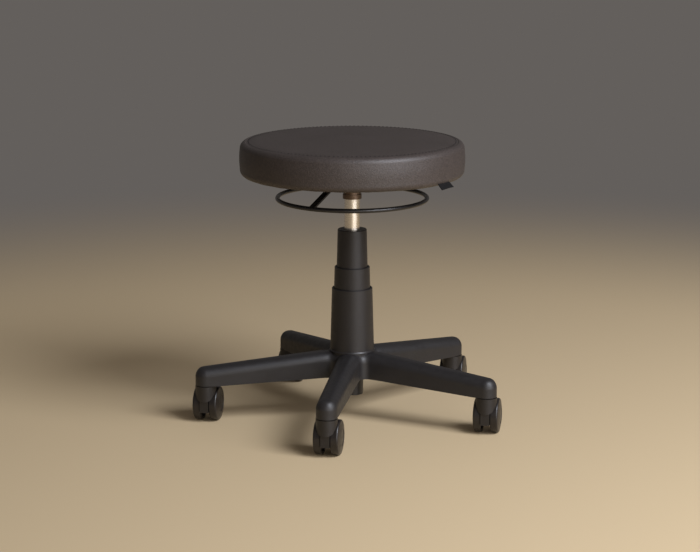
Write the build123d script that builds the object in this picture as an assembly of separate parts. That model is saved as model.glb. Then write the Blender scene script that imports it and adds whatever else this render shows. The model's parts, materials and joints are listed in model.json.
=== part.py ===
from build123d import *
import math
import os

# Round swivel stool on a gas lift and a five-arm base with twin-wheel casters.
# Millimetres. The origin is on the floor on the column's axis, +Z is up and the front faces -Y.

# Fits and gaps
running_gap = 0.05
seat_gap = 0.3
wheel_side_gap = 0.5
cut_margin = 1.0

# Seat cushion
seat_diameter = 406.0
seat_underside = 447.0
seat_side_height = 61.5
seat_crown = 4.0
seat_top_round = 15.0
seat_bottom_round = 12.0
side_draw = 1.2
cover_thickness = 1.2
hem_width = 22.0
board_edge_margin = 13.5
board_thickness = 12.0
tag_width = 35.0
tag_length = 12.0
tag_thickness = 1.2
tag_droop = 42.0
tag_azimuth = 52.7

# Seat plate and its fasteners
plate_side = 150.0
plate_corner_round = 14.0
plate_thickness = 3.0
bolt_spacing = 110.0
bolt_diameter = 6.0
bolt_head_width = 10.0
bolt_head_height = 4.0
bolt_length = 14.0
tee_nut_diameter = 8.0
tee_nut_flange_diameter = 18.0
tee_nut_flange_thickness = 1.4

# Socket under the seat plate
socket_diameter = 34.0
socket_neck_diameter = 31.4
socket_lip_height = 8.0
socket_length = 40.0
socket_flange_diameter = 60.0
socket_flange_thickness = 3.0
ear_reach = 8.0
ear_thickness = 3.0
fulcrum_diameter = 4.0

# Release ring and bar
ring_drop_below_plate = 39.2
ring_radius = 134.3
ring_wire = 8.0
bar_width = 12.0
bar_thickness = 3.0
bar_azimuth = -33.0
bar_flat_reach = 68.0
bar_drop_below_plate = 9.5
bar_tilt = 8.0
release_pin_diameter = 6.0
release_pin_length = 26.0
release_pin_round = 2.5

# Gas lift
lift_diameter = 28.0
lift_wall = 2.0
lift_taper_diameter = 26.8
lift_taper_length = 20.0
lift_travel_up = 75.0
lift_travel_down = 45.0
lift_stop_gap = 9.0
lift_plug_length = 14.0
gland_length = 14.0
rod_diameter = 10.0
piston_length = 18.0
piston_top_gap = 2.0
column_diameter = 50.0
column_wall = 1.6
column_top_recess = 4.5
column_foot = 43.0
column_foot_diameter = 40.4
column_neck_length = 7.0
column_neck_gap = 1.0
column_taper_drop = 1.6
end_plate_thickness = 4.0
bush_length = 76.0
bush_flange_thickness = 3.0
bearing_diameter = 26.0
bearing_height = 7.0
bump_stop_height = 6.0
bump_stop_diameter = 22.0
clip_diameter = 18.0
clip_thickness = 1.5
clip_groove_depth = 1.0
rod_end_length = 2.5

# Telescopic column cover, three stages
stage_wall = 1.2
stage_lip = 2.5
stage_gap = 0.4
stage_edge = 1.0
lower_length = 116.6
lower_foot_diameter = 80.0
lower_top_diameter = 73.4
lower_rim_height = 3.0
lower_rim_step = 1.5
middle_shown = 38.9
middle_step = 6.0
middle_taper = 3.8
middle_overlap = 34.0
upper_shown = 68.5
upper_step = 5.8
upper_taper = 5.2
upper_overlap = 34.0
stage_bead_height = 4.0
stage_bead_edge = 0.8

# Five-arm base
arm_count = 5
first_arm_azimuth = -10.0
caster_radius = 268.0
arm_tip_radius = 18.5
arm_root_radius = 21.5
crotch_round = 13.0
arm_top_round = 16.5
hub_top = 124.0
hub_collar_diameter = 80.0
hub_boss_diameter = 66.0
hub_flat_margin = 8.0
hub_blend_radius = 120.0
arm_root_depth = 46.0
arm_tip_depth = 31.5
arm_tip_level = 36.0
arm_wall = 4.0
arm_roof = 5.0
rib_thickness = 3.0
rib_recess = 3.0
cross_ribs = 4
stem_boss_diameter = 21.0

# Casters
wheel_diameter = 62.0
wheel_width = 16.8
wheel_edge_round = 3.0
wheel_dome = 3.2
wheel_cap_diameter = 30.0
wheel_cap_step = 0.8
wheel_tread_edge = 1.0
wheel_rim_wall = 5.0
wheel_recess_depth = 4.0
wheel_hub_diameter = 16.0
wheel_well_gap = 1.2
caster_trail = 16.0
caster_azimuth = 12.0
web_width = 16.0
neck_diameter = 38.0
neck_top = 67.8
neck_to_arm_gap = 1.4
tongue_foot = 19.5
tongue_depth = 7.0
shield_foot = 39.5
shield_round = 21.0
shield_step = 2.5
axle_diameter = 8.0
axle_boss_diameter = 20.0
stem_diameter = 11.0
stem_end_gap = 3.0
stem_chamfer = 1.5
stem_seat_depth = 12.0
stem_groove_depth = 0.8
stem_groove_height = 3.0
sleeve_diameter = 13.6
sleeve_roof = 6.0

# Heights and radii that follow from the sizes above
seat_radius = seat_diameter / 2
seat_rim = seat_underside + seat_side_height
seam_radius = seat_radius - side_draw - seat_top_round
hem_radius = seat_radius - hem_width
board_radius = seat_radius - board_edge_margin
board_foot = seat_underside + cover_thickness + seat_gap
board_top = board_foot + board_thickness
plate_foot = seat_underside - plate_thickness
socket_foot = plate_foot - socket_length
lift_top = socket_foot + lift_taper_length
bearing_foot = column_foot + end_plate_thickness
bump_stop_foot = bearing_foot + bearing_height
lift_foot = bump_stop_foot + bump_stop_height + lift_travel_down + lift_stop_gap
piston_foot = lift_foot + gland_length + lift_travel_up + piston_top_gap
piston_top = piston_foot + piston_length
ring_height = plate_foot - ring_drop_below_plate
bar_top = plate_foot - bar_drop_below_plate
bar_foot = bar_top - bar_thickness
fulcrum_reach = socket_diameter / 2 + fulcrum_diameter / 2 + seat_gap
fulcrum_height = bar_top + fulcrum_diameter / 2 + running_gap
arm_tip_underside = neck_top + neck_to_arm_gap
arm_tip_top = arm_tip_underside + arm_tip_depth
sleeve_top = arm_tip_top - sleeve_roof
arm_root_underside = hub_top - arm_root_depth
arm_flat_reach = (arm_root_radius + crotch_round) / math.tan(math.pi / arm_count) + hub_flat_margin
lower_top = hub_top + lower_length
middle_foot_diameter = lower_top_diameter - middle_step
middle_top_diameter = middle_foot_diameter - middle_taper
upper_foot_diameter = middle_top_diameter - upper_step
upper_top_diameter = upper_foot_diameter - upper_taper
middle_top = lower_top + middle_shown
upper_top = middle_top + upper_shown
column_top = lower_top - column_top_recess
wheel_radius = wheel_diameter / 2
wheel_inner = web_width / 2 + wheel_side_gap
wheel_outer = wheel_inner + wheel_width
stem_top = sleeve_top - stem_end_gap


def ring_of(points):
    """Solid turned about Z from a closed outline of (radius, height) points."""
    return revolve(make_face(Plane.XZ * Polyline(*points, close=True)), Axis.Z)


def post(diameter, foot, top, x=0.0, y=0.0):
    """Upright cylinder between two heights."""
    height = top - foot
    return Pos(x, y, foot + height / 2) * Cylinder(diameter / 2, height)


def tube(outer, inner, foot, top, x=0.0, y=0.0):
    """Upright tube between two heights."""
    return post(outer, foot, top, x, y) - post(inner, foot - cut_margin, top + cut_margin, x, y)


def block(low, high):
    """Box between two corners."""
    size = [b - a for a, b in zip(low, high)]
    middle = [(a + b) / 2 for a, b in zip(low, high)]
    return Pos(*middle) * Box(*size)


def facing(azimuth):
    """Turn about Z that takes the front (-Y) to an azimuth measured towards +X."""
    return Rot(0, 0, azimuth)


# Seat

def cushion_form(inset):
    """Closed form of the upholstered seat, moved inwards by inset: crowned top, drawn-in side."""
    foot = seat_underside + inset
    rim = seat_rim - inset
    side = seat_radius - side_draw - inset
    low = seat_bottom_round - inset
    high = seat_top_round - inset
    lean = math.sqrt(0.5)
    low_corner = (side - low + low * lean, foot + low - low * lean)
    high_corner = (side - high + high * lean, rim - high + high * lean)
    span = side - high
    dome_radius = (span ** 2 + seat_crown ** 2) / (2 * seat_crown)
    dome_centre = rim + seat_crown - dome_radius
    half_angle = math.asin(span / dome_radius) / 2
    dome_middle = (dome_radius * math.sin(half_angle), dome_centre + dome_radius * math.cos(half_angle))
    edges = [
        Line((0, foot), (side - low, foot)),
        ThreePointArc((side - low, foot), low_corner, (side, foot + low)),
        ThreePointArc((side, foot + low), (side + side_draw, (foot + rim) / 2), (side, rim - high)),
        ThreePointArc((side, rim - high), high_corner, (span, rim)),
        ThreePointArc((span, rim), dome_middle, (0, rim + seat_crown)),
        Line((0, rim + seat_crown), (0, foot)),
    ]
    return revolve(make_face(Plane.XZ * Wire(edges)), Axis.Z)


def bolt_places():
    """Four bolt centres, square to the release bar."""
    places = []
    for corner in range(4):
        angle = math.radians(bar_azimuth + 45 + 90 * corner)
        reach = bolt_spacing / math.sqrt(2)
        places.append((reach * math.sin(angle), -reach * math.cos(angle)))
    return places


def make_seat():
    skin = cushion_form(0) - cushion_form(cover_thickness)
    above = seat_rim + 2 * seat_crown
    middle = (seat_underside + seat_rim) / 2
    panel_zone = post(2 * seam_radius - seat_gap, middle, above)
    cut_zone = post(2 * seam_radius + seat_gap, middle, above)
    hem_zone = post(2 * hem_radius, seat_underside - cut_margin, middle)
    top_panel = skin & panel_zone
    side_band = skin - cut_zone - hem_zone
    board = post(2 * board_radius, board_foot, board_top)
    dust_cover = post(2 * hem_radius - 2 * seat_gap, seat_underside, board_foot)
    foam = cushion_form(cover_thickness + seat_gap)
    foam = foam - post(2 * board_radius + 2 * seat_gap, seat_underside, board_top)
    nuts = []
    bolts = []
    for x, y in bolt_places():
        barrel = post(tee_nut_diameter, board_foot, board_top, x, y)
        flange_foot = board_top - tee_nut_flange_thickness
        flange = post(tee_nut_flange_diameter, flange_foot, board_top, x, y)
        low = seat_underside - cut_margin
        high = board_top + cut_margin
        bolt_hole = post(bolt_diameter + 2 * running_gap, low, high, x, y)
        nuts.append(barrel + flange - bolt_hole)
        board = board - post(tee_nut_diameter + 2 * running_gap, low, high, x, y)
        board = board - post(tee_nut_flange_diameter + 2 * running_gap, flange_foot, high, x, y)
        dust_cover = dust_cover - bolt_hole
        head = extrude(Pos(x, y, plate_foot) * RegularPolygon(bolt_head_width / 2, 6, major_radius=False),
                       -bolt_head_height)
        shank = post(bolt_diameter, plate_foot, plate_foot + bolt_length, x, y)
        bolts.append(head + shank)
    return {
        "seat_top_panel": top_panel,
        "seat_side_band": side_band,
        "seat_foam": foam,
        "seat_board": board,
        "seat_dust_cover": dust_cover,
        "seat_tee_nuts": Compound(nuts),
        "seat_bolts": Compound(bolts),
        "seat_plate": make_plate(),
        "seat_tag": make_tag(),
    }


def make_plate():
    """Pressed square plate with rounded corners, turned to line up with the release bar."""
    outline = RectangleRounded(plate_side, plate_side, plate_corner_round)
    plate = facing(bar_azimuth) * extrude(Pos(0, 0, plate_foot) * outline, plate_thickness)
    for x, y in bolt_places():
        plate = plate - post(bolt_diameter + 2 * running_gap, plate_foot - cut_margin,
                             seat_underside + cut_margin, x, y)
    return plate


def make_tag():
    """Bare folded tag sewn in at the lower edge, which stands out and droops."""
    droop = math.radians(tag_droop)
    reach = seat_radius - side_draw - seat_bottom_round + seat_bottom_round * math.cos(droop)
    height = seat_underside + seat_bottom_round - seat_bottom_round * math.sin(droop)
    strip = Pos(0, -tag_length / 2 + tag_thickness, 0) * Box(tag_width, tag_length + 2 * tag_thickness, tag_thickness)
    tag = Pos(0, -reach, height) * Rot(tag_droop, 0, 0) * strip
    return facing(tag_azimuth) * tag - cushion_form(-seat_gap)


# Socket, release ring and bar

def bar_outline():
    """Side view of the bar along its length, half of it: flat middle, then a straight fall to the ring."""
    end = ring_radius
    fall = bar_foot - ring_height
    slope = math.atan2(fall + bar_thickness / 2, end - bar_flat_reach)
    rise = bar_thickness * (1 - math.cos(slope)) / math.sin(slope)
    low_end = (end - bar_thickness / 2 * math.sin(slope), ring_height - bar_thickness / 2 * math.cos(slope))
    high_end = (end + bar_thickness / 2 * math.sin(slope), ring_height + bar_thickness / 2 * math.cos(slope))
    return [(0, bar_foot), (bar_flat_reach, bar_foot), low_end, high_end,
            (bar_flat_reach + rise, bar_top), (0, bar_top)]


def make_release():
    ring = Pos(0, 0, ring_height) * Torus(ring_radius, ring_wire / 2)
    side = make_face(Plane.YZ * Polyline(*bar_outline(), close=True))
    half = extrude(side, bar_width / 2, both=True)
    bar = half + Rot(0, 0, 180) * half
    bar = facing(bar_azimuth) * bar - ring
    pin_top = bar_foot - running_gap
    pin = post(release_pin_diameter, pin_top - release_pin_length, pin_top)
    pin = fillet(pin.edges().group_by(Axis.Z)[-1], release_pin_round)
    return {"release_ring": ring, "release_bar": bar, "release_pin": pin}


def make_socket():
    """Turned socket for the lift's cone, with windows for the bar and ears that hold the fulcrum pins."""
    outer = post(socket_diameter, socket_foot, socket_foot + socket_lip_height)
    outer = outer + post(socket_neck_diameter, socket_foot, plate_foot)
    flange = post(socket_flange_diameter, plate_foot - socket_flange_thickness, plate_foot)
    cone_foot = socket_foot - cut_margin
    cone = ring_of([(0, cone_foot), (lift_diameter / 2 + running_gap, cone_foot),
                    (lift_diameter / 2 + running_gap, socket_foot),
                    (lift_taper_diameter / 2 + running_gap, lift_top),
                    (lift_taper_diameter / 2 + running_gap, plate_foot - socket_flange_thickness),
                    (0, plate_foot - socket_flange_thickness)])
    window_reach = socket_diameter
    window_half = bar_width / 2 + seat_gap
    window_foot = bar_foot - (socket_diameter / 2 + fulcrum_reach) * math.sin(math.radians(bar_tilt)) - seat_gap
    ear_foot = bar_foot
    ear_outer = socket_diameter / 2 + ear_reach
    ears = block((-window_half - ear_thickness, -ear_outer, ear_foot),
                 (window_half + ear_thickness, ear_outer, plate_foot - socket_flange_thickness))
    window = block((-window_half, -window_reach, window_foot),
                   (window_half, window_reach, plate_foot - socket_flange_thickness))
    pins = []
    body = outer + flange + facing(bar_azimuth) * ears - cone - facing(bar_azimuth) * window
    for side in (-1, 1):
        rod = Pos(0, side * fulcrum_reach, fulcrum_height) * Rot(0, 90, 0) * Cylinder(
            fulcrum_diameter / 2, 2 * (window_half + ear_thickness))
        hole = Pos(0, side * fulcrum_reach, fulcrum_height) * Rot(0, 90, 0) * Cylinder(
            fulcrum_diameter / 2 + running_gap, 4 * (window_half + ear_thickness))
        body = body - facing(bar_azimuth) * hole
        pins.append(facing(bar_azimuth) * rod)
    return {"lift_socket": body, "fulcrum_pins": Compound(pins)}


# Gas lift

def make_lift():
    """Pressure tube that slides in the column, its plugs, and the rod that stands in the column's foot."""
    bore = lift_diameter - 2 * lift_wall
    shell = ring_of([(0, lift_foot), (lift_diameter / 2, lift_foot), (lift_diameter / 2, socket_foot),
                     (lift_taper_diameter / 2, lift_top), (0, lift_top)])
    shell = shell - post(bore, lift_foot - cut_margin, lift_top - lift_plug_length)
    shell = shell - post(release_pin_diameter + 2 * running_gap, lift_foot, lift_top + cut_margin)
    gland = tube(bore - 2 * running_gap, rod_diameter + 2 * running_gap, lift_foot, lift_foot + gland_length)
    clip_foot = column_foot - clip_thickness
    neck = rod_diameter - 2 * clip_groove_depth
    rod_hole = rod_diameter + 2 * running_gap
    rod = post(rod_diameter, clip_foot - rod_end_length, piston_top)
    rod = rod - tube(2 * rod_diameter, neck, clip_foot, column_foot)
    piston = tube(bore - 2 * running_gap, rod_hole, piston_foot, piston_top)
    clip = tube(clip_diameter, neck + 2 * running_gap, clip_foot, column_foot)
    bearing = tube(bearing_diameter, rod_hole, bearing_foot, bump_stop_foot)
    bump_stop = tube(bump_stop_diameter, rod_hole, bump_stop_foot, bump_stop_foot + bump_stop_height)
    return {
        "lift_tube": shell,
        "lift_gland": gland,
        "piston_rod": rod,
        "gas_piston": piston,
        "rod_clip": clip,
        "thrust_bearing": bearing,
        "bump_stop": bump_stop,
    }


def column_outline(step):
    """Outer outline of the column, moved inwards by step, from its foot to its top."""
    neck_top_height = arm_root_underside - column_neck_gap
    neck_foot_height = neck_top_height - column_neck_length
    wide = column_diameter / 2 - step
    return [(column_foot_diameter / 2 - step, column_foot),
            (column_foot_diameter / 2 - step, neck_foot_height),
            (wide - column_taper_drop, neck_top_height),
            (wide, hub_top),
            (wide, column_top)]


def make_column():
    outer = column_outline(0)
    body = ring_of([(0, column_foot)] + outer + [(0, column_top)])
    inner = column_outline(column_wall)
    body = body - ring_of([(0, column_foot)] + inner + [(0, column_top)])
    end_plate = tube(column_foot_diameter - 2 * column_wall - 2 * running_gap, rod_diameter + 2 * running_gap,
                     column_foot, column_foot + end_plate_thickness)
    bush_outer = column_diameter - 2 * column_wall - 2 * running_gap
    bush = post(bush_outer, column_top - bush_length, column_top)
    bush = bush + post(column_diameter, column_top, column_top + bush_flange_thickness)
    bush = bush - post(lift_diameter + 2 * running_gap, column_top - bush_length - cut_margin,
                       column_top + bush_flange_thickness + cut_margin)
    return {"column_tube": body, "column_end_plate": end_plate, "guide_bush": bush}


# Telescopic cover

def stage(foot, top, foot_diameter, top_diameter, mouth_diameter):
    """Tapered sleeve, open below, with a lip at its top round what slides through it."""
    mouth = mouth_diameter / 2
    wide = foot_diameter / 2
    narrow = top_diameter / 2
    return ring_of([(wide, foot), (narrow + stage_edge * (wide - narrow) / (top - foot), top - stage_edge),
                    (narrow - stage_edge, top), (mouth, top), (mouth, top - stage_lip),
                    (narrow - stage_wall, top - stage_lip), (wide - stage_wall, foot)])


def stage_radius(foot, top, foot_diameter, top_diameter, height):
    """Outer radius of a tapered stage at a height."""
    share = (height - foot) / (top - foot)
    return (foot_diameter + (top_diameter - foot_diameter) * share) / 2


def foot_bead(foot, diameter, guide):
    """Bead round a stage's foot that runs on the wall of the stage below and stops under its lip."""
    inner = diameter / 2 - stage_wall / 2
    outer = guide - running_gap
    top = foot + stage_bead_height
    return ring_of([(inner, foot), (outer - stage_bead_edge, foot), (outer, foot + stage_bead_edge),
                    (outer, top - stage_bead_edge), (outer - stage_bead_edge, top), (inner, top)])


def make_covers():
    lower = stage(hub_top, lower_top, lower_foot_diameter, lower_top_diameter, middle_foot_diameter + 2 * stage_gap)
    rim = ring_of([(lower_foot_diameter / 2 - stage_wall, hub_top),
                   (lower_foot_diameter / 2 + lower_rim_step, hub_top),
                   (lower_foot_diameter / 2 + lower_rim_step, hub_top + lower_rim_height - lower_rim_step),
                   (lower_foot_diameter / 2 - stage_wall / 2, hub_top + lower_rim_height + lower_rim_step)])
    middle_foot = lower_top - middle_overlap
    middle = stage(middle_foot, middle_top, middle_foot_diameter, middle_top_diameter,
                   upper_foot_diameter + 2 * stage_gap)
    middle_guide = stage_radius(hub_top, lower_top, lower_foot_diameter, lower_top_diameter,
                                middle_foot + stage_bead_height) - stage_wall
    middle = middle + foot_bead(middle_foot, middle_foot_diameter, middle_guide)
    upper_foot = middle_top - upper_overlap
    upper = stage(upper_foot, upper_top, upper_foot_diameter, upper_top_diameter, lift_diameter + 2 * stage_gap)
    upper_guide = stage_radius(middle_foot, middle_top, middle_foot_diameter, middle_top_diameter,
                               upper_foot + stage_bead_height) - stage_wall
    upper = upper + foot_bead(upper_foot, upper_foot_diameter, upper_guide)
    return {"cover_lower": lower + rim, "cover_middle": middle, "cover_upper": upper}


# Five-arm base

def arm_places():
    """Centres of the caster stems at the arm tips."""
    places = []
    for index in range(arm_count):
        angle = math.radians(first_arm_azimuth + 360 / arm_count * index)
        places.append((caster_radius * math.sin(angle), -caster_radius * math.cos(angle)))
    return places


def star_plan(inset):
    """Plan of the five arms with rounded tips and rounded crotches, moved inwards by inset."""
    root = arm_root_radius - inset
    tip = arm_tip_radius - inset
    lean = math.asin((root - tip) / caster_radius)
    root_point = (root * math.cos(lean), -root * math.sin(lean))
    tip_point = (tip * math.cos(lean), -caster_radius - tip * math.sin(lean))
    edges = [
        Line(root_point, tip_point),
        ThreePointArc(tip_point, (0, -caster_radius - tip), (-tip_point[0], tip_point[1])),
        Line((-tip_point[0], tip_point[1]), (-root_point[0], root_point[1])),
        Line((-root_point[0], root_point[1]), root_point),
    ]
    arm = make_face(Wire(edges))
    plan = None
    for index in range(arm_count):
        turned = facing(first_arm_azimuth + 360 / arm_count * index) * arm
        plan = turned if plan is None else plan + turned
    plan = plan + Circle(root)
    corners = plan.vertices().filter_by(lambda corner: math.hypot(corner.X, corner.Y) < 3 * arm_root_radius)
    return fillet(corners, crotch_round + inset)


def base_envelope(roof, rise):
    """Five bars to the arms' side view: top lowered by roof, underside raised by rise, hub blended into the arms."""
    tip_end = caster_radius + arm_tip_radius
    fall = (hub_top - arm_tip_top) / (tip_end - arm_flat_reach)
    reach = tip_end + cut_margin
    tip_flat = caster_radius - arm_tip_level / 2
    side = [(0, arm_root_underside + rise), (-arm_flat_reach, arm_root_underside + rise),
            (-tip_flat, arm_tip_underside + rise), (-reach, arm_tip_underside + rise),
            (-reach, arm_tip_top - fall * cut_margin - roof), (-arm_flat_reach, hub_top - roof),
            (0, hub_top - roof)]
    outline = make_face(Plane.YZ * Polyline(*side, close=True))
    bend = outline.vertices().sort_by_distance((0, -arm_flat_reach, hub_top - roof))[0]
    bar = extrude(fillet(bend, hub_blend_radius), arm_root_radius + crotch_round, both=True)
    envelope = bar
    for index in range(arm_count):
        envelope = envelope + facing(360 / arm_count * index) * bar
    return facing(first_arm_azimuth) * envelope


def top_rim(body):
    """Edges round the upper faces of a body, without the creases between those faces."""
    found = {}
    for face in body.faces():
        if face.normal_at(face.center()).Z > 0.9:
            for edge in face.edges():
                place = edge @ 0.5
                key = (round(place.X, 3), round(place.Y, 3), round(place.Z, 3))
                found.setdefault(key, []).append(edge)
    return [edges[0] for edges in found.values() if len(edges) == 1]


def rounded_star(inset, roof, rise, rounding):
    """Star cut to the side view, with its upper edges rounded over."""
    body = extrude(star_plan(inset), 2 * hub_top) & base_envelope(roof, rise)
    return fillet(top_rim(body), rounding)


def make_base():
    """Moulded base: hollow arms with ribs below, a tapered hub bore and bosses for the stem sleeves."""
    body = rounded_star(0, 0, 0, arm_top_round)
    body = body + post(hub_collar_diameter, arm_tip_top, hub_top)
    cavity = rounded_star(arm_wall, arm_roof, -arm_tip_depth / 2, arm_top_round - arm_wall)
    keep = post(hub_boss_diameter, 0, hub_top)
    boss_gap = (caster_radius - stem_boss_diameter / 2 - hub_boss_diameter / 2) / (cross_ribs + 1)
    ribs = []
    for index in range(arm_count):
        turn = facing(first_arm_azimuth + 360 / arm_count * index)
        ribs.append(turn * block((-rib_thickness / 2, -caster_radius, 0), (rib_thickness / 2, 0, hub_top)))
        for step in range(cross_ribs):
            reach = hub_boss_diameter / 2 + boss_gap * (step + 1)
            ribs.append(turn * block((-2 * arm_root_radius, -reach - rib_thickness / 2, 0),
                                     (2 * arm_root_radius, -reach + rib_thickness / 2, hub_top)))
    rib_zone = base_envelope(0, rib_recess)
    cavity = cavity - keep
    for x, y in arm_places():
        cavity = cavity - post(stem_boss_diameter, 0, hub_top, x, y)
    for rib in ribs:
        cavity = cavity - (rib & rib_zone)
    body = body - cavity
    bore = [(radius + running_gap, height) for radius, height in column_outline(0)]
    body = body - ring_of([(0, column_foot)] + bore + [(0, column_top)])
    for x, y in arm_places():
        body = body - post(sleeve_diameter + 2 * running_gap, 0, sleeve_top, x, y)
    return body


def make_sleeves():
    """Steel sleeves in the arm tips that hold the caster stems."""
    sleeves = []
    for x, y in arm_places():
        sleeves.append(tube(sleeve_diameter, stem_diameter + 2 * running_gap,
                            arm_tip_underside, sleeve_top, x, y))
    return Compound(sleeves)


# Casters, made about the stem's axis with the axle behind it on +Y

def side_web():
    """Side view of the web between the wheels: tongue in front, boss round the axle."""
    front = shield_step - neck_diameter / 2
    boss = axle_boss_diameter / 2
    edges = [
        Line((front, neck_top), (front, tongue_foot)),
        Line((front, tongue_foot), (front + tongue_depth, tongue_foot)),
        Line((front + tongue_depth, tongue_foot), (caster_trail, wheel_radius - boss)),
        ThreePointArc((caster_trail, wheel_radius - boss), (caster_trail + boss, wheel_radius),
                      (caster_trail, wheel_radius + boss)),
        Line((caster_trail, wheel_radius + boss), (-front, neck_top)),
        Line((-front, neck_top), (front, neck_top)),
    ]
    return make_face(Plane.YZ * Wire(edges))


def make_hood():
    """Round neck that falls into a rounded shield over the wheels, with a web and tongue between them."""
    web_zone = post(neck_diameter, 0, neck_top)
    web_zone = web_zone + block((-web_width, 0, 0), (web_width, 2 * neck_diameter, neck_top))
    web = extrude(side_web(), web_width / 2, both=True) & web_zone
    well = Pos(0, caster_trail, wheel_radius) * Rot(0, 90, 0) * Cylinder(
        wheel_radius + wheel_well_gap, 4 * wheel_outer)
    shield_middle = shield_foot + shield_round
    shield = Pos(0, 0, shield_middle) * Rot(90, 0, 0) * Cylinder(shield_round, 2 * neck_diameter)
    shield = shield + block((-shield_round, -neck_diameter, shield_middle),
                            (shield_round, neck_diameter, neck_top + cut_margin))
    shell = (post(neck_diameter, shield_foot - cut_margin, neck_top) & shield) - well
    hood = web + shell
    hood = hood - post(stem_diameter + 2 * running_gap, neck_top - stem_seat_depth, neck_top + cut_margin)
    axle_hole = Pos(0, caster_trail, wheel_radius) * Rot(0, 90, 0) * Cylinder(
        axle_diameter / 2 + running_gap, 2 * web_width)
    return hood - axle_hole


def make_stem():
    """Grip stem with a groove for its spring ring and a chamfered end."""
    stem = post(stem_diameter, neck_top - stem_seat_depth, stem_top)
    stem = chamfer(stem.edges().group_by(Axis.Z)[-1], stem_chamfer)
    groove_foot = stem_top - 4 * stem_groove_height
    groove = tube(2 * stem_diameter, stem_diameter - 2 * stem_groove_depth, groove_foot,
                  groove_foot + stem_groove_height)
    return stem - groove


def make_axle():
    half = wheel_outer - wheel_dome
    return Pos(0, caster_trail, wheel_radius) * Rot(0, 90, 0) * Cylinder(axle_diameter / 2, 2 * half)


def make_wheel():
    """Right-hand wheel: flat tread, rounded shoulder, domed outer face with a shallow cap, blind axle bore."""
    edge = wheel_outer - wheel_dome
    shoulder = wheel_radius - wheel_edge_round
    lean = math.sqrt(0.5)
    cap = wheel_cap_diameter / 2
    between = (shoulder + cap) / 2
    rise = wheel_dome * (1 - (cap / shoulder) ** 2)
    rise_between = wheel_dome * (1 - (between / shoulder) ** 2)
    cap_foot = (edge + rise - wheel_cap_step, cap - wheel_cap_step)
    cap_middle = (wheel_outer - wheel_cap_step, 0)
    outline = [
        Line((wheel_inner, 0), (wheel_inner, wheel_radius - wheel_tread_edge)),
        Line((wheel_inner, wheel_radius - wheel_tread_edge), (wheel_inner + wheel_tread_edge, wheel_radius)),
        Line((wheel_inner + wheel_tread_edge, wheel_radius), (edge - wheel_edge_round, wheel_radius)),
        ThreePointArc((edge - wheel_edge_round, wheel_radius),
                      (edge - wheel_edge_round + wheel_edge_round * lean, shoulder + wheel_edge_round * lean),
                      (edge, shoulder)),
        ThreePointArc((edge, shoulder), (edge + rise_between, between), (edge + rise, cap)),
        Line((edge + rise, cap), cap_foot),
        Line(cap_foot, cap_middle),
        Line(cap_middle, (wheel_inner, 0)),
    ]
    wheel = revolve(make_face(Wire(outline)), Axis.X)
    bore_end = edge + running_gap
    bore = Pos((wheel_inner + bore_end) / 2, 0, 0) * Rot(0, 90, 0) * Cylinder(
        axle_diameter / 2 + running_gap, bore_end - wheel_inner)
    recess = Pos(wheel_inner, 0, 0) * Rot(0, 90, 0) * (
        Cylinder(wheel_radius - wheel_rim_wall, 2 * wheel_recess_depth)
        - Cylinder(wheel_hub_diameter / 2, 2 * wheel_recess_depth))
    return Pos(0, caster_trail, wheel_radius) * (wheel - bore - recess)


def make_casters():
    names = ["front", "right", "back_right", "back_left", "left"]
    hood = make_hood()
    stem = make_stem()
    axle = make_axle()
    wheel_right = make_wheel()
    wheel_left = mirror(wheel_right, Plane.YZ)
    pieces = {}
    for name, (x, y) in zip(names, arm_places()):
        place = Pos(x, y, 0) * Rot(0, 0, -caster_azimuth)
        pieces["caster_hood_" + name] = place * hood
        pieces["caster_stem_" + name] = place * stem
        pieces["caster_axle_" + name] = place * axle
        pieces["wheel_left_" + name] = place * wheel_left
        pieces["wheel_right_" + name] = place * wheel_right
    return pieces


def main():
    os.makedirs("parts", exist_ok=True)
    pieces = {"base_star": make_base(), "stem_sleeves": make_sleeves()}
    pieces.update(make_column())
    pieces.update(make_covers())
    pieces.update(make_lift())
    pieces.update(make_socket())
    pieces.update(make_release())
    pieces.update(make_seat())
    pieces.update(make_casters())
    for name, shape in pieces.items():
        export_step(shape, "parts/" + name + ".step")


main()
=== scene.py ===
import json
import math

import bmesh
import bpy
from mathutils import Matrix, Vector, noise


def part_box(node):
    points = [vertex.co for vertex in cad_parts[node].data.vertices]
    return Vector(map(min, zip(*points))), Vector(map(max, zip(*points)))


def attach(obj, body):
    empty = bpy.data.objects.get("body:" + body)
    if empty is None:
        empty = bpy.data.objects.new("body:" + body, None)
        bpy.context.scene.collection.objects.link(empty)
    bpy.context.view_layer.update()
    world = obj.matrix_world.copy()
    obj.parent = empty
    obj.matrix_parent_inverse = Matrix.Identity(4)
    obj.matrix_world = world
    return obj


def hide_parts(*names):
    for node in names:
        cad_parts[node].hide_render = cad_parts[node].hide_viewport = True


# Looks of the round swivel stool: leather cushion, moulded base and casters, telescopic cover and gas lift.
# Metres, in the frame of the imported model: floor at z 0, column on the z axis, front towards -Y.
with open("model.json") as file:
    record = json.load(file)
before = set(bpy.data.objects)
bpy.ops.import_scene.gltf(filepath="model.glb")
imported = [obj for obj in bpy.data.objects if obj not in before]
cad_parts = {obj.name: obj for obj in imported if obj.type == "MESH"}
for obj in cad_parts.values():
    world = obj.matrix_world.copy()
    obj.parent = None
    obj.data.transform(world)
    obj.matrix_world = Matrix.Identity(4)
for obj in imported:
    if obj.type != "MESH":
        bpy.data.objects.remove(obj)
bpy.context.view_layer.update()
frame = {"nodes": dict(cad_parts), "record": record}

MM = 0.001

# Spacing of the wave texture's bands at a scale of 1
WAVE_SPACING = math.pi / 10

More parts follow.
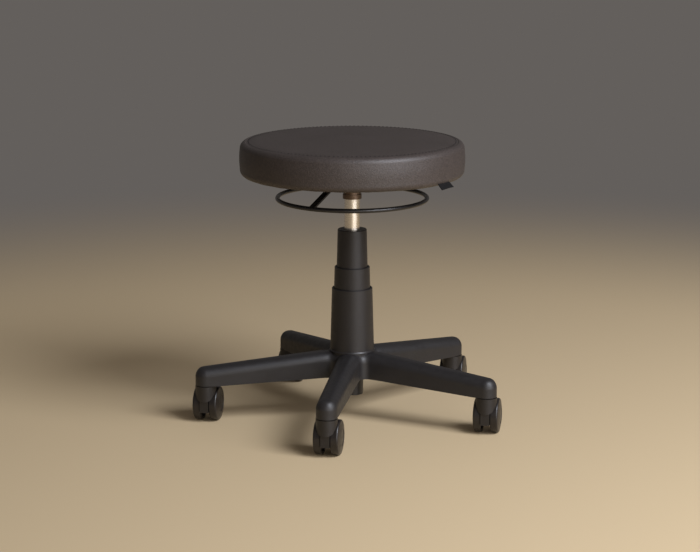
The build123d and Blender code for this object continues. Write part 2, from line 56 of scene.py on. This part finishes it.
# Seat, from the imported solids
BAND_LOW, BAND_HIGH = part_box("seat_side_band")
PANEL_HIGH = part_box("seat_top_panel")[1]
BOARD_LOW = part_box("seat_board")[0]
DUST_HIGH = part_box("seat_dust_cover")[1]
SEAT_FOOT = BAND_LOW.z
SEAT_TOP = PANEL_HIGH.z
SEAT_RADIUS = BAND_HIGH.x
CROWN = 4.0 * MM
SEAT_RIM = SEAT_TOP - CROWN
SIDE_BULGE = 1.2 * MM
TOP_ROUND = 12.5 * MM
BOTTOM_ROUND = 12.0 * MM
SEAM_RADIUS = SEAT_RADIUS - SIDE_BULGE - TOP_ROUND

# Hem turned under the seat, and its pleats
HEM_RADIUS = DUST_HIGH.x
HEM_FLAT = 4.0 * MM
HEM_EDGE = 2.0 * MM
HEM_RISE = 0.6 * MM
HEM_TUCK = 8.0 * MM
PLEAT_ZONE = 4.0 * MM
PLEAT_DEPTH = 0.8 * MM
PLEAT_RISE = 0.9
PLEAT_CHANGES = 14

# Sewing
STITCH_PITCH = 8.0 * MM
STITCH_LENGTH = 3.6 * MM
THREAD = 1.9 * MM
STITCH_OFFSET = 3.4 * MM
STITCH_SINK = 0.05 * MM
SEAM_DEPTH = 1.8 * MM
SEAM_FLOOR = 0.3 * MM
SEAM_HALF_WIDTH = 1.3 * MM
STITCHES = round(2 * math.pi * SEAM_RADIUS / STITCH_PITCH)
STITCH_REACH = SEAM_RADIUS - STITCH_OFFSET
STITCH_HEIGHT = SEAT_TOP - CROWN * (STITCH_REACH / SEAM_RADIUS) ** 2
PUCKER = 0.4 * MM
PUCKER_FADE = 2.2 * MM
PUCKER_UNEVEN = 0.6
PUCKER_CHANGES = 9

# Swelling of the stuffed cushion
START_INSET = 0.7 * MM
SWELL_CAP = 0.9 * MM
SWELL_PRESSURE = 4.0
SWELL_FRAMES = 20
SWELL_QUALITY = 6
HELD_SHARE = 0.3

# Dust cloth and its staples
PLATE_REACH = 108 * MM
CLOTH_OVERLAP = 1.5 * MM
CLOTH_LIFT = 0.2 * MM
CLOTH_SAG = 1.1 * MM
CLOTH_SLACK = 0.7 * MM
CLOTH_CHANGES = 28
CLOTH_THICKNESS = 0.5 * MM
STAPLES = 48
STAPLE_INSET = 5 * MM
STAPLE_DROP = 0.45 * MM
STAPLE_WIDTH = 1.1 * MM
STAPLE_LENGTH = 10 * MM
STAPLE_HEIGHT = 0.6 * MM
STAPLE_EDGE = 0.18 * MM
STAPLE_SKEW = 0.25
STAPLE_CHANGES = 1.7

# Tag
TAG_WIDTH = 35 * MM
TAG_LENGTH = 11.5 * MM
TAG_DROOP = math.radians(42)
TAG_HALF_GAP = 0.45 * MM
TAG_ROOT = 2.0 * MM
TAG_BOW = 0.25 * MM
TAG_CURL = 0.9 * MM
TAG_CURL_TURN = 4.2
TAG_CURL_START = 0.6
TAG_THICKNESS = 0.35 * MM

# Floor, and the plain grey surround that it fades to
FLOOR_RADIUS = 14.0
FADE_START = 1.0
FADE_END = 2.6
SURROUND = "#cbc3bd"
SURROUND_LEVEL = 0.21


def colour(code):
    """Linear RGBA of an sRGB hex value."""
    levels = [int(code[place:place + 2], 16) / 255 for place in (1, 3, 5)]
    linear = [level / 12.92 if level <= 0.04045 else ((level + 0.055) / 1.055) ** 2.4 for level in levels]
    return (*linear, 1.0)


def add(tree, kind, inputs=None, **settings):
    """Adds a node with its settings; an input is a value or a socket to link."""
    made = tree.nodes.new(kind)
    for name, value in settings.items():
        setattr(made, name, value)
    for socket, value in (inputs or {}).items():
        if isinstance(value, bpy.types.NodeSocket):
            tree.links.new(value, made.inputs[socket])
        else:
            made.inputs[socket].default_value = value
    return made


def new_finish(name):
    """An empty material: its tree, its shader and the object coordinates."""
    made = bpy.data.materials.new(name)
    made.use_nodes = True
    tree = made.node_tree
    shader = tree.nodes["Principled BSDF"]
    place = add(tree, "ShaderNodeTexCoord").outputs["Object"]
    return made, tree, shader, place


# Materials

def coated_leather():
    """Polyurethane-coated split leather, embossed with a fine pebble grain and pulled tight over foam.

    It gives a broad satin light on the roll of the edge, a dull top and a faint brown cast in the shade.
    """
    made, tree, shader, place = new_finish("coated_leather")
    # The real pebbles are about 1 mm. They are drawn at 2.2 mm to show at the size of the picture.
    pebbles = add(tree, "ShaderNodeTexVoronoi", {"Vector": place, "Scale": 1 / (2.2 * MM)},
                  feature="SMOOTH_F1")
    pores = add(tree, "ShaderNodeTexNoise", {"Vector": place, "Scale": 1 / (0.9 * MM), "Detail": 3.0})
    patches = add(tree, "ShaderNodeTexNoise", {"Vector": place, "Scale": 1 / (60 * MM), "Detail": 4.0})
    tone = add(tree, "ShaderNodeMix", {"Factor": patches.outputs["Fac"], "A": colour("#3a332f"),
                                       "B": colour("#453d3a")}, data_type="RGBA")
    # Painted highlight and shade on the grain: the pebble tops are made lighter and the grooves between them
    # darker.
    grain_painted_light = add(tree, "ShaderNodeMapRange", {"Value": pebbles.outputs["Distance"], "From Max": 0.6,
                                             "To Min": 1.22, "To Max": 0.72})
    shade = add(tree, "ShaderNodeMix", {"Factor": 1.0, "A": tone.outputs["Result"],
                                        "B": grain_painted_light.outputs["Result"]},
                data_type="RGBA", blend_type="MULTIPLY")
    gloss = add(tree, "ShaderNodeMapRange", {"Value": pores.outputs["Fac"], "To Min": 0.42, "To Max": 0.52})
    relief = add(tree, "ShaderNodeMath", {0: pebbles.outputs["Distance"], 1: pores.outputs["Fac"]},
                 operation="ADD")
    grain = add(tree, "ShaderNodeBump", {"Height": relief.outputs["Value"], "Strength": 0.42,
                                         "Distance": 0.6 * MM}, invert=True)
    tree.links.new(shade.outputs["Result"], shader.inputs["Base Color"])
    tree.links.new(gloss.outputs["Result"], shader.inputs["Roughness"])
    tree.links.new(grain.outputs["Normal"], shader.inputs["Normal"])
    shader.inputs["IOR"].default_value = 1.5
    return made


def polyester_thread():
    """Bonded polyester sewing thread: dark, with a fine twist that catches a little light."""
    made, tree, shader, place = new_finish("polyester_thread")
    twist = add(tree, "ShaderNodeTexNoise", {"Vector": place, "Scale": 1 / (0.5 * MM), "Detail": 2.0})
    tone = add(tree, "ShaderNodeMix", {"Factor": twist.outputs["Fac"], "A": colour("#0d0b0a"),
                                       "B": colour("#1d1917")}, data_type="RGBA")
    tree.links.new(tone.outputs["Result"], shader.inputs["Base Color"])
    shader.inputs["Roughness"].default_value = 0.6
    return made


def woven_tape():
    """Plain-woven polyester tape: matt black, with warp and weft that cross at right angles."""
    made, tree, shader, place = new_finish("woven_tape")
    # The threads lie 0.35 mm apart. They are drawn 1.5 mm apart to show close up.
    scale = WAVE_SPACING / (1.508 * MM)
    warp, weft = [add(tree, "ShaderNodeTexWave", {"Vector": place, "Scale": scale, "Distortion": 0.6},
                      bands_direction=along) for along in ("X", "Z")]
    cross = add(tree, "ShaderNodeMath", {0: warp.outputs["Fac"], 1: weft.outputs["Fac"]},
                operation="MULTIPLY")
    tone = add(tree, "ShaderNodeMix", {"Factor": cross.outputs["Value"], "A": colour("#0b0a0a"),
                                       "B": colour("#191717")}, data_type="RGBA")
    weave = add(tree, "ShaderNodeBump", {"Height": cross.outputs["Value"], "Strength": 0.4,
                                         "Distance": 0.2 * MM})
    tree.links.new(tone.outputs["Result"], shader.inputs["Base Color"])
    tree.links.new(weave.outputs["Normal"], shader.inputs["Normal"])
    shader.inputs["Roughness"].default_value = 0.85
    shader.inputs["Specular IOR Level"].default_value = 0.2
    return made


def spunbond_cloth():
    """Spunbond polypropylene under the seat: dull black, pressed with a close pattern of bond points."""
    made, tree, shader, place = new_finish("spunbond_cloth")
    points = add(tree, "ShaderNodeTexVoronoi", {"Vector": place, "Scale": 1 / (2.4 * MM), "Randomness": 0.25})
    fibres = add(tree, "ShaderNodeTexNoise", {"Vector": place, "Scale": 1 / (1.5 * MM), "Detail": 6.0,
                                              "Distortion": 1.5})
    tone = add(tree, "ShaderNodeMix", {"Factor": fibres.outputs["Fac"], "A": colour("#151414"),
                                       "B": colour("#2c2a2a")}, data_type="RGBA")
    relief = add(tree, "ShaderNodeMath", {0: points.outputs["Distance"], 1: fibres.outputs["Fac"]},
                 operation="ADD")
    bond = add(tree, "ShaderNodeBump", {"Height": relief.outputs["Value"], "Strength": 0.3,
                                        "Distance": 0.3 * MM})
    tree.links.new(tone.outputs["Result"], shader.inputs["Base Color"])
    tree.links.new(bond.outputs["Normal"], shader.inputs["Normal"])
    shader.inputs["Roughness"].default_value = 0.9
    shader.inputs["Sheen Weight"].default_value = 0.15
    return made


def moulded_plastic(name, dark, light, dull, texture, depth):
    """Moulded plastic with a spark-eroded skin: grain of the tool, faint flow marks, scuffs that shine.

    Dark and light are the tones of the flow marks, dull is the roughness, texture the grain's width and
    depth its relief.
    """
    made, tree, shader, place = new_finish(name)
    skin = add(tree, "ShaderNodeTexNoise", {"Vector": place, "Scale": 1 / texture, "Detail": 4.0,
                                            "Roughness": 0.6})
    flow = add(tree, "ShaderNodeTexNoise", {"Vector": place, "Scale": 1 / (45 * MM), "Detail": 3.0,
                                            "Distortion": 0.8})
    scuffs = add(tree, "ShaderNodeTexNoise", {"Vector": place, "Scale": 1 / (9 * MM), "Detail": 5.0})
    tone = add(tree, "ShaderNodeMix", {"Factor": flow.outputs["Fac"], "A": colour(dark), "B": colour(light)},
               data_type="RGBA")
    gloss = add(tree, "ShaderNodeMapRange", {"Value": scuffs.outputs["Fac"], "From Min": 0.35,
                                             "From Max": 0.7, "To Min": dull + 0.05,
                                             "To Max": dull - 0.07})
    grain = add(tree, "ShaderNodeBump", {"Height": skin.outputs["Fac"], "Strength": 0.2, "Distance": depth})
    tree.links.new(tone.outputs["Result"], shader.inputs["Base Color"])
    tree.links.new(gloss.outputs["Result"], shader.inputs["Roughness"])
    tree.links.new(grain.outputs["Normal"], shader.inputs["Normal"])
    shader.inputs["IOR"].default_value = 1.5
    return made


def black_enamel():
    """Stoved black enamel on steel: a deep satin black with a slight orange peel."""
    made, tree, shader, place = new_finish("black_enamel")
    peel = add(tree, "ShaderNodeTexNoise", {"Vector": place, "Scale": 1 / (1.6 * MM), "Detail": 2.0})
    cloud = add(tree, "ShaderNodeTexNoise", {"Vector": place, "Scale": 1 / (30 * MM), "Detail": 3.0})
    tone = add(tree, "ShaderNodeMix", {"Factor": cloud.outputs["Fac"], "A": colour("#151414"),
                                       "B": colour("#1f1d1d")}, data_type="RGBA")
    gloss = add(tree, "ShaderNodeMapRange", {"Value": cloud.outputs["Fac"], "To Min": 0.24, "To Max": 0.34})
    skin = add(tree, "ShaderNodeBump", {"Height": peel.outputs["Fac"], "Strength": 0.08,
                                        "Distance": 0.3 * MM})
    tree.links.new(tone.outputs["Result"], shader.inputs["Base Color"])
    tree.links.new(gloss.outputs["Result"], shader.inputs["Roughness"])
    tree.links.new(skin.outputs["Normal"], shader.inputs["Normal"])
    shader.inputs["IOR"].default_value = 1.5
    return made


def ground_metal(name, dark, light, dull, line):
    """Metal ground or turned on a centre: fine rings round the axis that stretch the highlight.

    Dark and light are the tones of the rings, dull the roughness, line the spacing of the rings.
    """
    made, tree, shader, place = new_finish(name)
    stretch = add(tree, "ShaderNodeMapping", {"Vector": place, "Scale": (20.0, 20.0, 1 / line)})
    rings = add(tree, "ShaderNodeTexNoise", {"Vector": stretch.outputs["Vector"], "Scale": 1.0,
                                             "Detail": 4.0})
    cloud = add(tree, "ShaderNodeTexNoise", {"Vector": place, "Scale": 1 / (25 * MM), "Detail": 3.0})
    tone = add(tree, "ShaderNodeMix", {"Factor": cloud.outputs["Fac"], "A": colour(dark), "B": colour(light)},
               data_type="RGBA")
    gloss = add(tree, "ShaderNodeMapRange", {"Value": rings.outputs["Fac"], "To Min": dull - 0.06,
                                             "To Max": dull + 0.06})
    cut = add(tree, "ShaderNodeBump", {"Height": rings.outputs["Fac"], "Strength": 0.06,
                                       "Distance": 0.2 * MM})
    tree.links.new(tone.outputs["Result"], shader.inputs["Base Color"])
    tree.links.new(gloss.outputs["Result"], shader.inputs["Roughness"])
    tree.links.new(cut.outputs["Normal"], shader.inputs["Normal"])
    shader.inputs["Metallic"].default_value = 1.0
    return made


def zinc_plate():
    """Bright zinc plating on steel: pale grey, slightly blotched where the bath left it uneven."""
    made, tree, shader, place = new_finish("zinc_plate")
    bath = add(tree, "ShaderNodeTexNoise", {"Vector": place, "Scale": 1 / (4 * MM), "Detail": 4.0})
    tone = add(tree, "ShaderNodeMix", {"Factor": bath.outputs["Fac"], "A": colour("#9fa1a0"),
                                       "B": colour("#c9cbca")}, data_type="RGBA")
    gloss = add(tree, "ShaderNodeMapRange", {"Value": bath.outputs["Fac"], "To Min": 0.28, "To Max": 0.42})
    tree.links.new(tone.outputs["Result"], shader.inputs["Base Color"])
    tree.links.new(gloss.outputs["Result"], shader.inputs["Roughness"])
    shader.inputs["Metallic"].default_value = 1.0
    return made


def birch_plywood():
    """Sanded birch plywood: pale, with veneers that show as thin lines on the edge."""
    made, tree, shader, place = new_finish("birch_plywood")
    plies = add(tree, "ShaderNodeTexWave", {"Vector": place, "Scale": WAVE_SPACING / (5.655 * MM),
                                            "Distortion": 0.5}, bands_direction="Z")
    figure = add(tree, "ShaderNodeTexNoise", {"Vector": place, "Scale": 1 / (20 * MM), "Detail": 5.0,
                                              "Distortion": 1.0})
    mixed = add(tree, "ShaderNodeMath", {0: plies.outputs["Fac"], 1: figure.outputs["Fac"]},
                operation="MULTIPLY")
    tone = add(tree, "ShaderNodeMix", {"Factor": mixed.outputs["Value"], "A": colour("#b8935f"),
                                       "B": colour("#d9bd8d")}, data_type="RGBA")
    tree.links.new(tone.outputs["Result"], shader.inputs["Base Color"])
    shader.inputs["Roughness"].default_value = 0.65
    return made


def cut_foam():
    """Open-cell polyurethane foam: cream, with its small holes shown as painted shade."""
    made, tree, shader, place = new_finish("cut_foam")
    cells = add(tree, "ShaderNodeTexVoronoi", {"Vector": place, "Scale": 1 / (2 * MM)})
    # Painted shade: darker towards the middle of each cell, where a hole would be.
    tone = add(tree, "ShaderNodeMix", {"Factor": cells.outputs["Distance"], "A": colour("#8f8358"),
                                       "B": colour("#d8cda4")}, data_type="RGBA")
    tree.links.new(tone.outputs["Result"], shader.inputs["Base Color"])
    shader.inputs["Roughness"].default_value = 0.95
    return made


def dress_solids(finishes):
    """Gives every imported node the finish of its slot."""
    for part in frame["record"]["subparts"]:
        slots = frame["nodes"][part["node"]].data.materials
        slots.clear()
        slots.append(finishes[part["material_slot"]])


# Pieces

def turned(profile, steps):
    """Mesh spun about the z axis from (radius, height) points."""
    bm = bmesh.new()
    verts = [bm.verts.new((radius, 0, height)) for radius, height in profile]
    edges = [bm.edges.new(pair) for pair in zip(verts, verts[1:])]
    bmesh.ops.spin(bm, geom=verts + edges, axis=(0, 0, 1), cent=(0, 0, 0), steps=steps, angle=2 * math.pi,
                   use_merge=True)
    bmesh.ops.remove_doubles(bm, verts=bm.verts, dist=0.01 * MM)
    bmesh.ops.recalc_face_normals(bm, faces=bm.faces)
    return bm


def finished(name, bm, material, body):
    """Object from a mesh, shaded smooth, that rides on a body and takes a slot's finish."""
    mesh = bpy.data.meshes.new(name)
    bm.to_mesh(mesh)
    bm.free()
    mesh.polygons.foreach_set("use_smooth", [True] * len(mesh.polygons))
    made = bpy.data.objects.new(name, mesh)
    bpy.context.scene.collection.objects.link(made)
    made.data.materials.append(material)
    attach(made, body)
    return made


def arc(radius, height, size, start, end, steps):
    """Points of an arc about (radius, height), from one angle to another in degrees above the level."""
    angles = [math.radians(start + (end - start) * step / steps) for step in range(steps + 1)]
    return [(radius + size * math.cos(angle), height + size * math.sin(angle)) for angle in angles]


def cushion_profile():
    """Half section of the cover: crowned top, seam valley, rolled edge, bulged side, hem turned under."""
    rings = 30
    roll_steps = 10
    side_steps = 9
    turn_steps = 7
    side_top = SEAT_RIM - TOP_ROUND
    side_foot = SEAT_FOOT + BOTTOM_ROUND
    side_radius = SEAT_RADIUS - SIDE_BULGE
    shoulder = SEAM_RADIUS - SEAM_HALF_WIDTH
    top = [(shoulder * ring / rings, SEAT_TOP - CROWN * (ring / rings) ** 2) for ring in range(rings + 1)]
    valley = [(SEAM_RADIUS + side * SEAM_FLOOR, SEAT_RIM - SEAM_DEPTH) for side in (-1, 1)]
    roll_start = 90 - math.degrees(SEAM_HALF_WIDTH / TOP_ROUND)
    roll = arc(SEAM_RADIUS, side_top, TOP_ROUND, roll_start, 0, roll_steps)
    band = []
    for step in range(1, side_steps):
        share = step / side_steps
        height = side_top + (side_foot - side_top) * share
        band.append((side_radius + SIDE_BULGE * math.sin(math.pi * share), height))
    turn = arc(side_radius - BOTTOM_ROUND, side_foot, BOTTOM_ROUND, 0, -90, turn_steps)
    hem = [(HEM_RADIUS + HEM_FLAT, SEAT_FOOT), (HEM_RADIUS - HEM_EDGE, SEAT_FOOT + HEM_RISE)]
    inside = [(reach, BOARD_LOW.z) for reach in (HEM_RADIUS - HEM_TUCK, HEM_RADIUS / 2, 0)]
    return top + valley + roll + band + turn + hem + inside


def swell(piece):
    """Draws the cover in, inflates it as its foam does and keeps that shape. Seam and hem are held."""
    held = []
    start = []
    normals = [vert.normal.copy() for vert in piece.data.vertices]
    for vert, normal in zip(piece.data.vertices, normals):
        reach = math.hypot(vert.co.x, vert.co.y)
        in_valley = abs(reach - SEAM_RADIUS) < 2 * SEAM_FLOOR
        turned_under = (vert.co.z - SEAT_FOOT) / BOTTOM_ROUND
        if in_valley or turned_under < HELD_SHARE:
            held.append(vert.index)
        else:
            vert.co -= normal * START_INSET * min(1.0, turned_under - HELD_SHARE)
        start.append(vert.co.copy())
    group = piece.vertex_groups.new(name="held")
    group.add(held, 1.0, "REPLACE")
    cloth = piece.modifiers.new("swell", "CLOTH")
    cloth.settings.use_pressure = True
    cloth.settings.uniform_pressure_force = SWELL_PRESSURE
    cloth.settings.vertex_group_mass = group.name
    cloth.settings.effector_weights.gravity = 0
    cloth.settings.quality = SWELL_QUALITY
    cloth.point_cache.frame_end = SWELL_FRAMES
    scene = bpy.context.scene
    for moment in range(1, SWELL_FRAMES + 1):
        scene.frame_set(moment)
    swollen = piece.evaluated_get(bpy.context.evaluated_depsgraph_get())
    moves = [vert.co - old for vert, old in zip(swollen.data.vertices, start)]
    piece.modifiers.remove(cloth)
    scene.frame_set(1)
    for vert, old, move in zip(piece.data.vertices, start, moves):
        if move.length > SWELL_CAP:
            move = move * (SWELL_CAP / move.length)
        vert.co = old + move
    piece.vertex_groups.clear()


def make_cushion(leather):
    """Boxed leather cushion, stuffed tight, with one sewn seam round the top and a pleated hem below."""
    bm = turned(cushion_profile(), STITCHES)
    cushion = finished("seat_cushion", bm, leather, "seat")
    swell(cushion)
    finer = cushion.modifiers.new("finer", "SUBSURF")
    finer.levels = finer.render_levels = 1
    smooth = bpy.data.meshes.new_from_object(cushion.evaluated_get(bpy.context.evaluated_depsgraph_get()))
    cushion.modifiers.remove(finer)
    cushion.data = smooth
    pucker_seam(cushion.data)
    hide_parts("seat_foam", "seat_top_panel", "seat_side_band")


def pucker_seam(mesh):
    """Draws the leather in at the needle holes between stitches and gathers the hem in small pleats."""
    normals = [vert.normal.copy() for vert in mesh.vertices]
    for vert, normal in zip(mesh.vertices, normals):
        reach = math.hypot(vert.co.x, vert.co.y)
        turn = math.atan2(vert.co.y, vert.co.x)
        if vert.co.z > (SEAT_FOOT + SEAT_TOP) / 2:
            away = math.hypot(reach - STITCH_REACH, vert.co.z - STITCH_HEIGHT)
            wave = math.cos(turn * STITCHES)
            uneven = 1 + PUCKER_UNEVEN * noise.noise(Vector((turn * PUCKER_CHANGES, 0.3, 0.7)))
            vert.co -= normal * PUCKER * wave * uneven * math.exp(-(away / PUCKER_FADE) ** 2)
        elif vert.co.z < SEAT_FOOT + PLEAT_ZONE and reach > HEM_RADIUS - PLEAT_ZONE:
            outward = Vector((math.cos(turn), math.sin(turn), 0))
            fold = noise.noise(outward * PLEAT_CHANGES + Vector((0, 0, 1.3)))
            vert.co += (outward + Vector((0, 0, PLEAT_RISE))) * fold * PLEAT_DEPTH


def make_topstitch(thread):
    """Row of stitches on the top panel, just inside the seam."""
    bm = bmesh.new()
    for index in range(STITCHES):
        place = (Matrix.Rotation(2 * math.pi * (index + 0.5) / STITCHES, 4, "Z")
                 @ Matrix.Translation((STITCH_REACH, 0, STITCH_HEIGHT - STITCH_SINK))
                 @ Matrix.Diagonal((THREAD / 2, STITCH_LENGTH / 2, THREAD / 4, 1)))
        bmesh.ops.create_icosphere(bm, subdivisions=1, radius=1.0, matrix=place)
    finished("seat_topstitch", bm, thread, "seat")


def make_dust_cover(cloth):
    """Round of cloth tacked under the seat, slack between its tacks and the plate."""
    rings = 24
    sectors = 120
    edge = HEM_RADIUS + CLOTH_OVERLAP
    level = SEAT_FOOT + CLOTH_LIFT
    profile = []
    for ring in range(rings + 1):
        reach = edge * ring / rings
        free = max(0.0, (reach - PLATE_REACH) / (edge - PLATE_REACH))
        profile.append((reach, level - CLOTH_SAG * math.sin(math.pi * free)))
    bm = turned(profile, sectors)
    for vert in bm.verts:
        reach = math.hypot(vert.co.x, vert.co.y)
        if reach > PLATE_REACH:
            slack = noise.noise(Vector((vert.co.x * CLOTH_CHANGES, vert.co.y * CLOTH_CHANGES, 0.4)))
            free = (reach - PLATE_REACH) / (edge - PLATE_REACH)
            vert.co.z += slack * CLOTH_SLACK * math.sin(math.pi * free)
    cover = finished("seat_dust_cloth", bm, cloth, "seat")
    thick = cover.modifiers.new("thickness", "SOLIDIFY")
    thick.thickness = CLOTH_THICKNESS
    thick.offset = 0.0
    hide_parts("seat_dust_cover")


def make_staples(steel):
    """Wire staples round the edge of the dust cloth."""
    bm = bmesh.new()
    for index in range(STAPLES):
        skew = STAPLE_SKEW * noise.noise(Vector((index * STAPLE_CHANGES, 0.2, 0.9)))
        place = (Matrix.Rotation(2 * math.pi * index / STAPLES, 4, "Z")
                 @ Matrix.Translation((HEM_RADIUS - STAPLE_INSET, 0, SEAT_FOOT - STAPLE_DROP))
                 @ Matrix.Rotation(skew, 4, "Z")
                 @ Matrix.Diagonal((STAPLE_WIDTH, STAPLE_LENGTH, STAPLE_HEIGHT, 1)))
        bmesh.ops.create_cube(bm, size=1.0, matrix=place)
    bmesh.ops.bevel(bm, geom=bm.edges, offset=STAPLE_EDGE, segments=2, affect="EDGES", profile=0.5,
                    material=-1)
    finished("seat_staples", bm, steel, "seat")


def make_tag(tape):
    """Bare folded tape sewn into the lower edge: two layers, a soft fold and a slight curl."""
    low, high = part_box("seat_tag")
    middle = (low + high) / 2
    azimuth = math.atan2(middle.x, -middle.y)
    fold_steps = 6
    width_steps = 10
    fold = arc(-TAG_LENGTH, 0, TAG_HALF_GAP, 270, 90, fold_steps)
    lower = [(TAG_ROOT, -TAG_HALF_GAP), (-TAG_LENGTH / 2, -TAG_HALF_GAP - TAG_BOW)]
    upper = [(-TAG_LENGTH / 2, TAG_HALF_GAP), (TAG_ROOT, TAG_HALF_GAP)]
    bm = bmesh.new()
    verts = [bm.verts.new((-TAG_WIDTH / 2, along, height)) for along, height in lower + fold + upper]
    edges = [bm.edges.new(pair) for pair in zip(verts, verts[1:])]
    for step in range(width_steps):
        grown = bmesh.ops.extrude_edge_only(bm, edges=edges)["geom"]
        edges = [item for item in grown if isinstance(item, bmesh.types.BMEdge)
                 and all(vert in grown for vert in item.verts)]
        moved = [item for item in grown if isinstance(item, bmesh.types.BMVert)]
        bmesh.ops.translate(bm, verts=moved, vec=(TAG_WIDTH / width_steps, 0, 0))
    bmesh.ops.recalc_face_normals(bm, faces=bm.faces)
    for vert in bm.verts:
        out = max(0.0, -vert.co.y / TAG_LENGTH)
        across = vert.co.x / TAG_WIDTH
        vert.co.z += TAG_CURL * out ** 2 * math.sin(across * TAG_CURL_TURN + TAG_CURL_START)
    reach = math.hypot(middle.x, middle.y) - math.cos(TAG_DROOP) * TAG_LENGTH / 2
    height = middle.z + math.sin(TAG_DROOP) * TAG_LENGTH / 2
    place = (Matrix.Rotation(azimuth, 4, "Z") @ Matrix.Translation((0, -reach, height))
             @ Matrix.Rotation(TAG_DROOP, 4, "X"))
    bmesh.ops.transform(bm, matrix=place, verts=bm.verts)
    tag = finished("seat_tape_tag", bm, tape, "seat")
    thick = tag.modifiers.new("thickness", "SOLIDIFY")
    thick.thickness = TAG_THICKNESS
    thick.offset = 0.0
    soft = tag.modifiers.new("soft", "SUBSURF")
    soft.levels = soft.render_levels = 1
    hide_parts("seat_tag")


# Stage, light and camera

def make_stage():
    """Warm pale floor that fades to a plain grey away from the stool."""
    bm = bmesh.new()
    bmesh.ops.create_circle(bm, cap_ends=True, segments=64, radius=FLOOR_RADIUS)
    mesh = bpy.data.meshes.new("studio_floor")
    bm.to_mesh(mesh)
    bm.free()
    floor = bpy.data.objects.new("studio_floor", mesh)
    bpy.context.scene.collection.objects.link(floor)
    made, tree, shader, place = new_finish("pale_floor")
    shader.inputs["Base Color"].default_value = colour("#cbb590")
    shader.inputs["Roughness"].default_value = 0.75
    # Away from the stool the floor takes the surround's tone, for the eye and for reflections
    distance = add(tree, "ShaderNodeVectorMath", {0: place}, operation="LENGTH")
    fade = add(tree, "ShaderNodeMapRange", {"Value": distance.outputs["Value"], "From Min": FADE_START,
                                            "From Max": FADE_END}, interpolation_type="SMOOTHSTEP")
    path = add(tree, "ShaderNodeLightPath")
    seen = add(tree, "ShaderNodeMath", {0: path.outputs["Is Camera Ray"], 1: path.outputs["Is Glossy Ray"]},
               operation="MAXIMUM")
    shown = add(tree, "ShaderNodeMath", {0: seen.outputs["Value"], 1: path.outputs["Is Transmission Ray"]},
                operation="MAXIMUM")
    share = add(tree, "ShaderNodeMath", {0: shown.outputs["Value"], 1: fade.outputs["Result"]},
                operation="MULTIPLY")
    haze = add(tree, "ShaderNodeEmission", {"Color": colour(SURROUND), "Strength": SURROUND_LEVEL})
    mixed = add(tree, "ShaderNodeMixShader", {0: share.outputs["Value"], 1: shader.outputs["BSDF"],
                                              2: haze.outputs["Emission"]})
    tree.links.new(mixed.outputs["Shader"], tree.nodes["Material Output"].inputs["Surface"])
    mesh.materials.append(made)


def lamp(name, place, aim, size, power, tint):
    """Square soft light at a place, turned to a point."""
    data = bpy.data.lights.new(name, "AREA")
    data.size = size
    data.energy = power
    data.color = colour(tint)[:3]
    made = bpy.data.objects.new(name, data)
    made.location = place
    made.rotation_euler = (Vector(aim) - Vector(place)).to_track_quat("-Z", "Y").to_euler()
    bpy.context.scene.collection.objects.link(made)


def light_scene():
    """High key from the front right, a large soft wall of light below it, a weak card near the camera.

    The world round them is the plain grey surround.
    """
    lamp("key", (1.9, -1.7, 2.5), aim=(0, 0, 0.45), size=1.6, power=118, tint="#f0f4ff")
    lamp("wall", (2.3, -2.6, 1.1), aim=(0, 0, 0.4), size=3.0, power=74, tint="#fbfaff")
    lamp("card", (0.8, -3.8, 0.7), aim=(0, 0, 0.4), size=2.4, power=22, tint="#fff8f0")
    world = bpy.data.worlds.new("studio")
    bpy.context.scene.world = world
    world.use_nodes = True
    tree = world.node_tree
    tree.nodes.clear()
    sky = add(tree, "ShaderNodeBackground", {"Color": colour(SURROUND), "Strength": SURROUND_LEVEL})
    add(tree, "ShaderNodeOutputWorld", {"Surface": sky.outputs["Background"]})
    bpy.context.scene.view_settings.view_transform = "Standard"


def place_camera():
    """Camera at the photograph's place: eye level about 1.1 m, 12 degrees down."""
    data = bpy.data.cameras.new("photo_camera")
    data.sensor_width = 36.0
    data.lens = 114.04
    camera = bpy.data.objects.new("photo_camera", data)
    camera.location = (-0.04394, -3.92603, 1.09502)
    camera.rotation_euler = (math.radians(78.008), 0.0, math.radians(-0.584))
    bpy.context.scene.collection.objects.link(camera)
    bpy.context.scene.camera = camera


def main():
    leather = coated_leather()
    steel = zinc_plate()
    cloth = spunbond_cloth()
    tape = woven_tape()
    dress_solids({
        "base_nylon": moulded_plastic("glass_filled_nylon", "#1c1a1a", "#252323", dull=0.46,
                                      texture=0.9 * MM, depth=0.4 * MM),
        "cover_plastic": moulded_plastic("moulded_polypropylene", "#191615", "#221f1e", dull=0.42,
                                         texture=0.7 * MM, depth=0.25 * MM),
        "caster_nylon": moulded_plastic("moulded_nylon", "#191614", "#211d1b", dull=0.44,
                                        texture=0.8 * MM, depth=0.3 * MM),
        "wheel_nylon": moulded_plastic("polished_nylon", "#181513", "#211c1a", dull=0.34,
                                       texture=1.0 * MM, depth=0.15 * MM),
        "bush_acetal": moulded_plastic("turned_acetal", "#d6d2c6", "#e4e0d6", dull=0.4,
                                       texture=0.8 * MM, depth=0.1 * MM),
        "black_enamel": black_enamel(),
        "socket_steel": ground_metal("bronze_plate", "#665649", "#7d6b5c", dull=0.38, line=0.5 * MM),
        "lift_chrome": ground_metal("satin_chrome", "#fff2de", "#fffaf0", dull=0.28, line=0.35 * MM),
        "zinc_steel": steel,
        "stop_rubber": moulded_plastic("moulded_rubber", "#191818", "#232222", dull=0.75,
                                       texture=0.6 * MM, depth=0.3 * MM),
        "seat_leather": leather,
        "tag_cloth": tape,
        "dust_cloth": cloth,
        "plywood": birch_plywood(),
        "foam": cut_foam(),
    })
    make_cushion(leather)
    make_topstitch(polyester_thread())
    make_dust_cover(cloth)
    make_staples(steel)
    make_tag(tape)
    make_stage()
    light_scene()
    place_camera()


main()
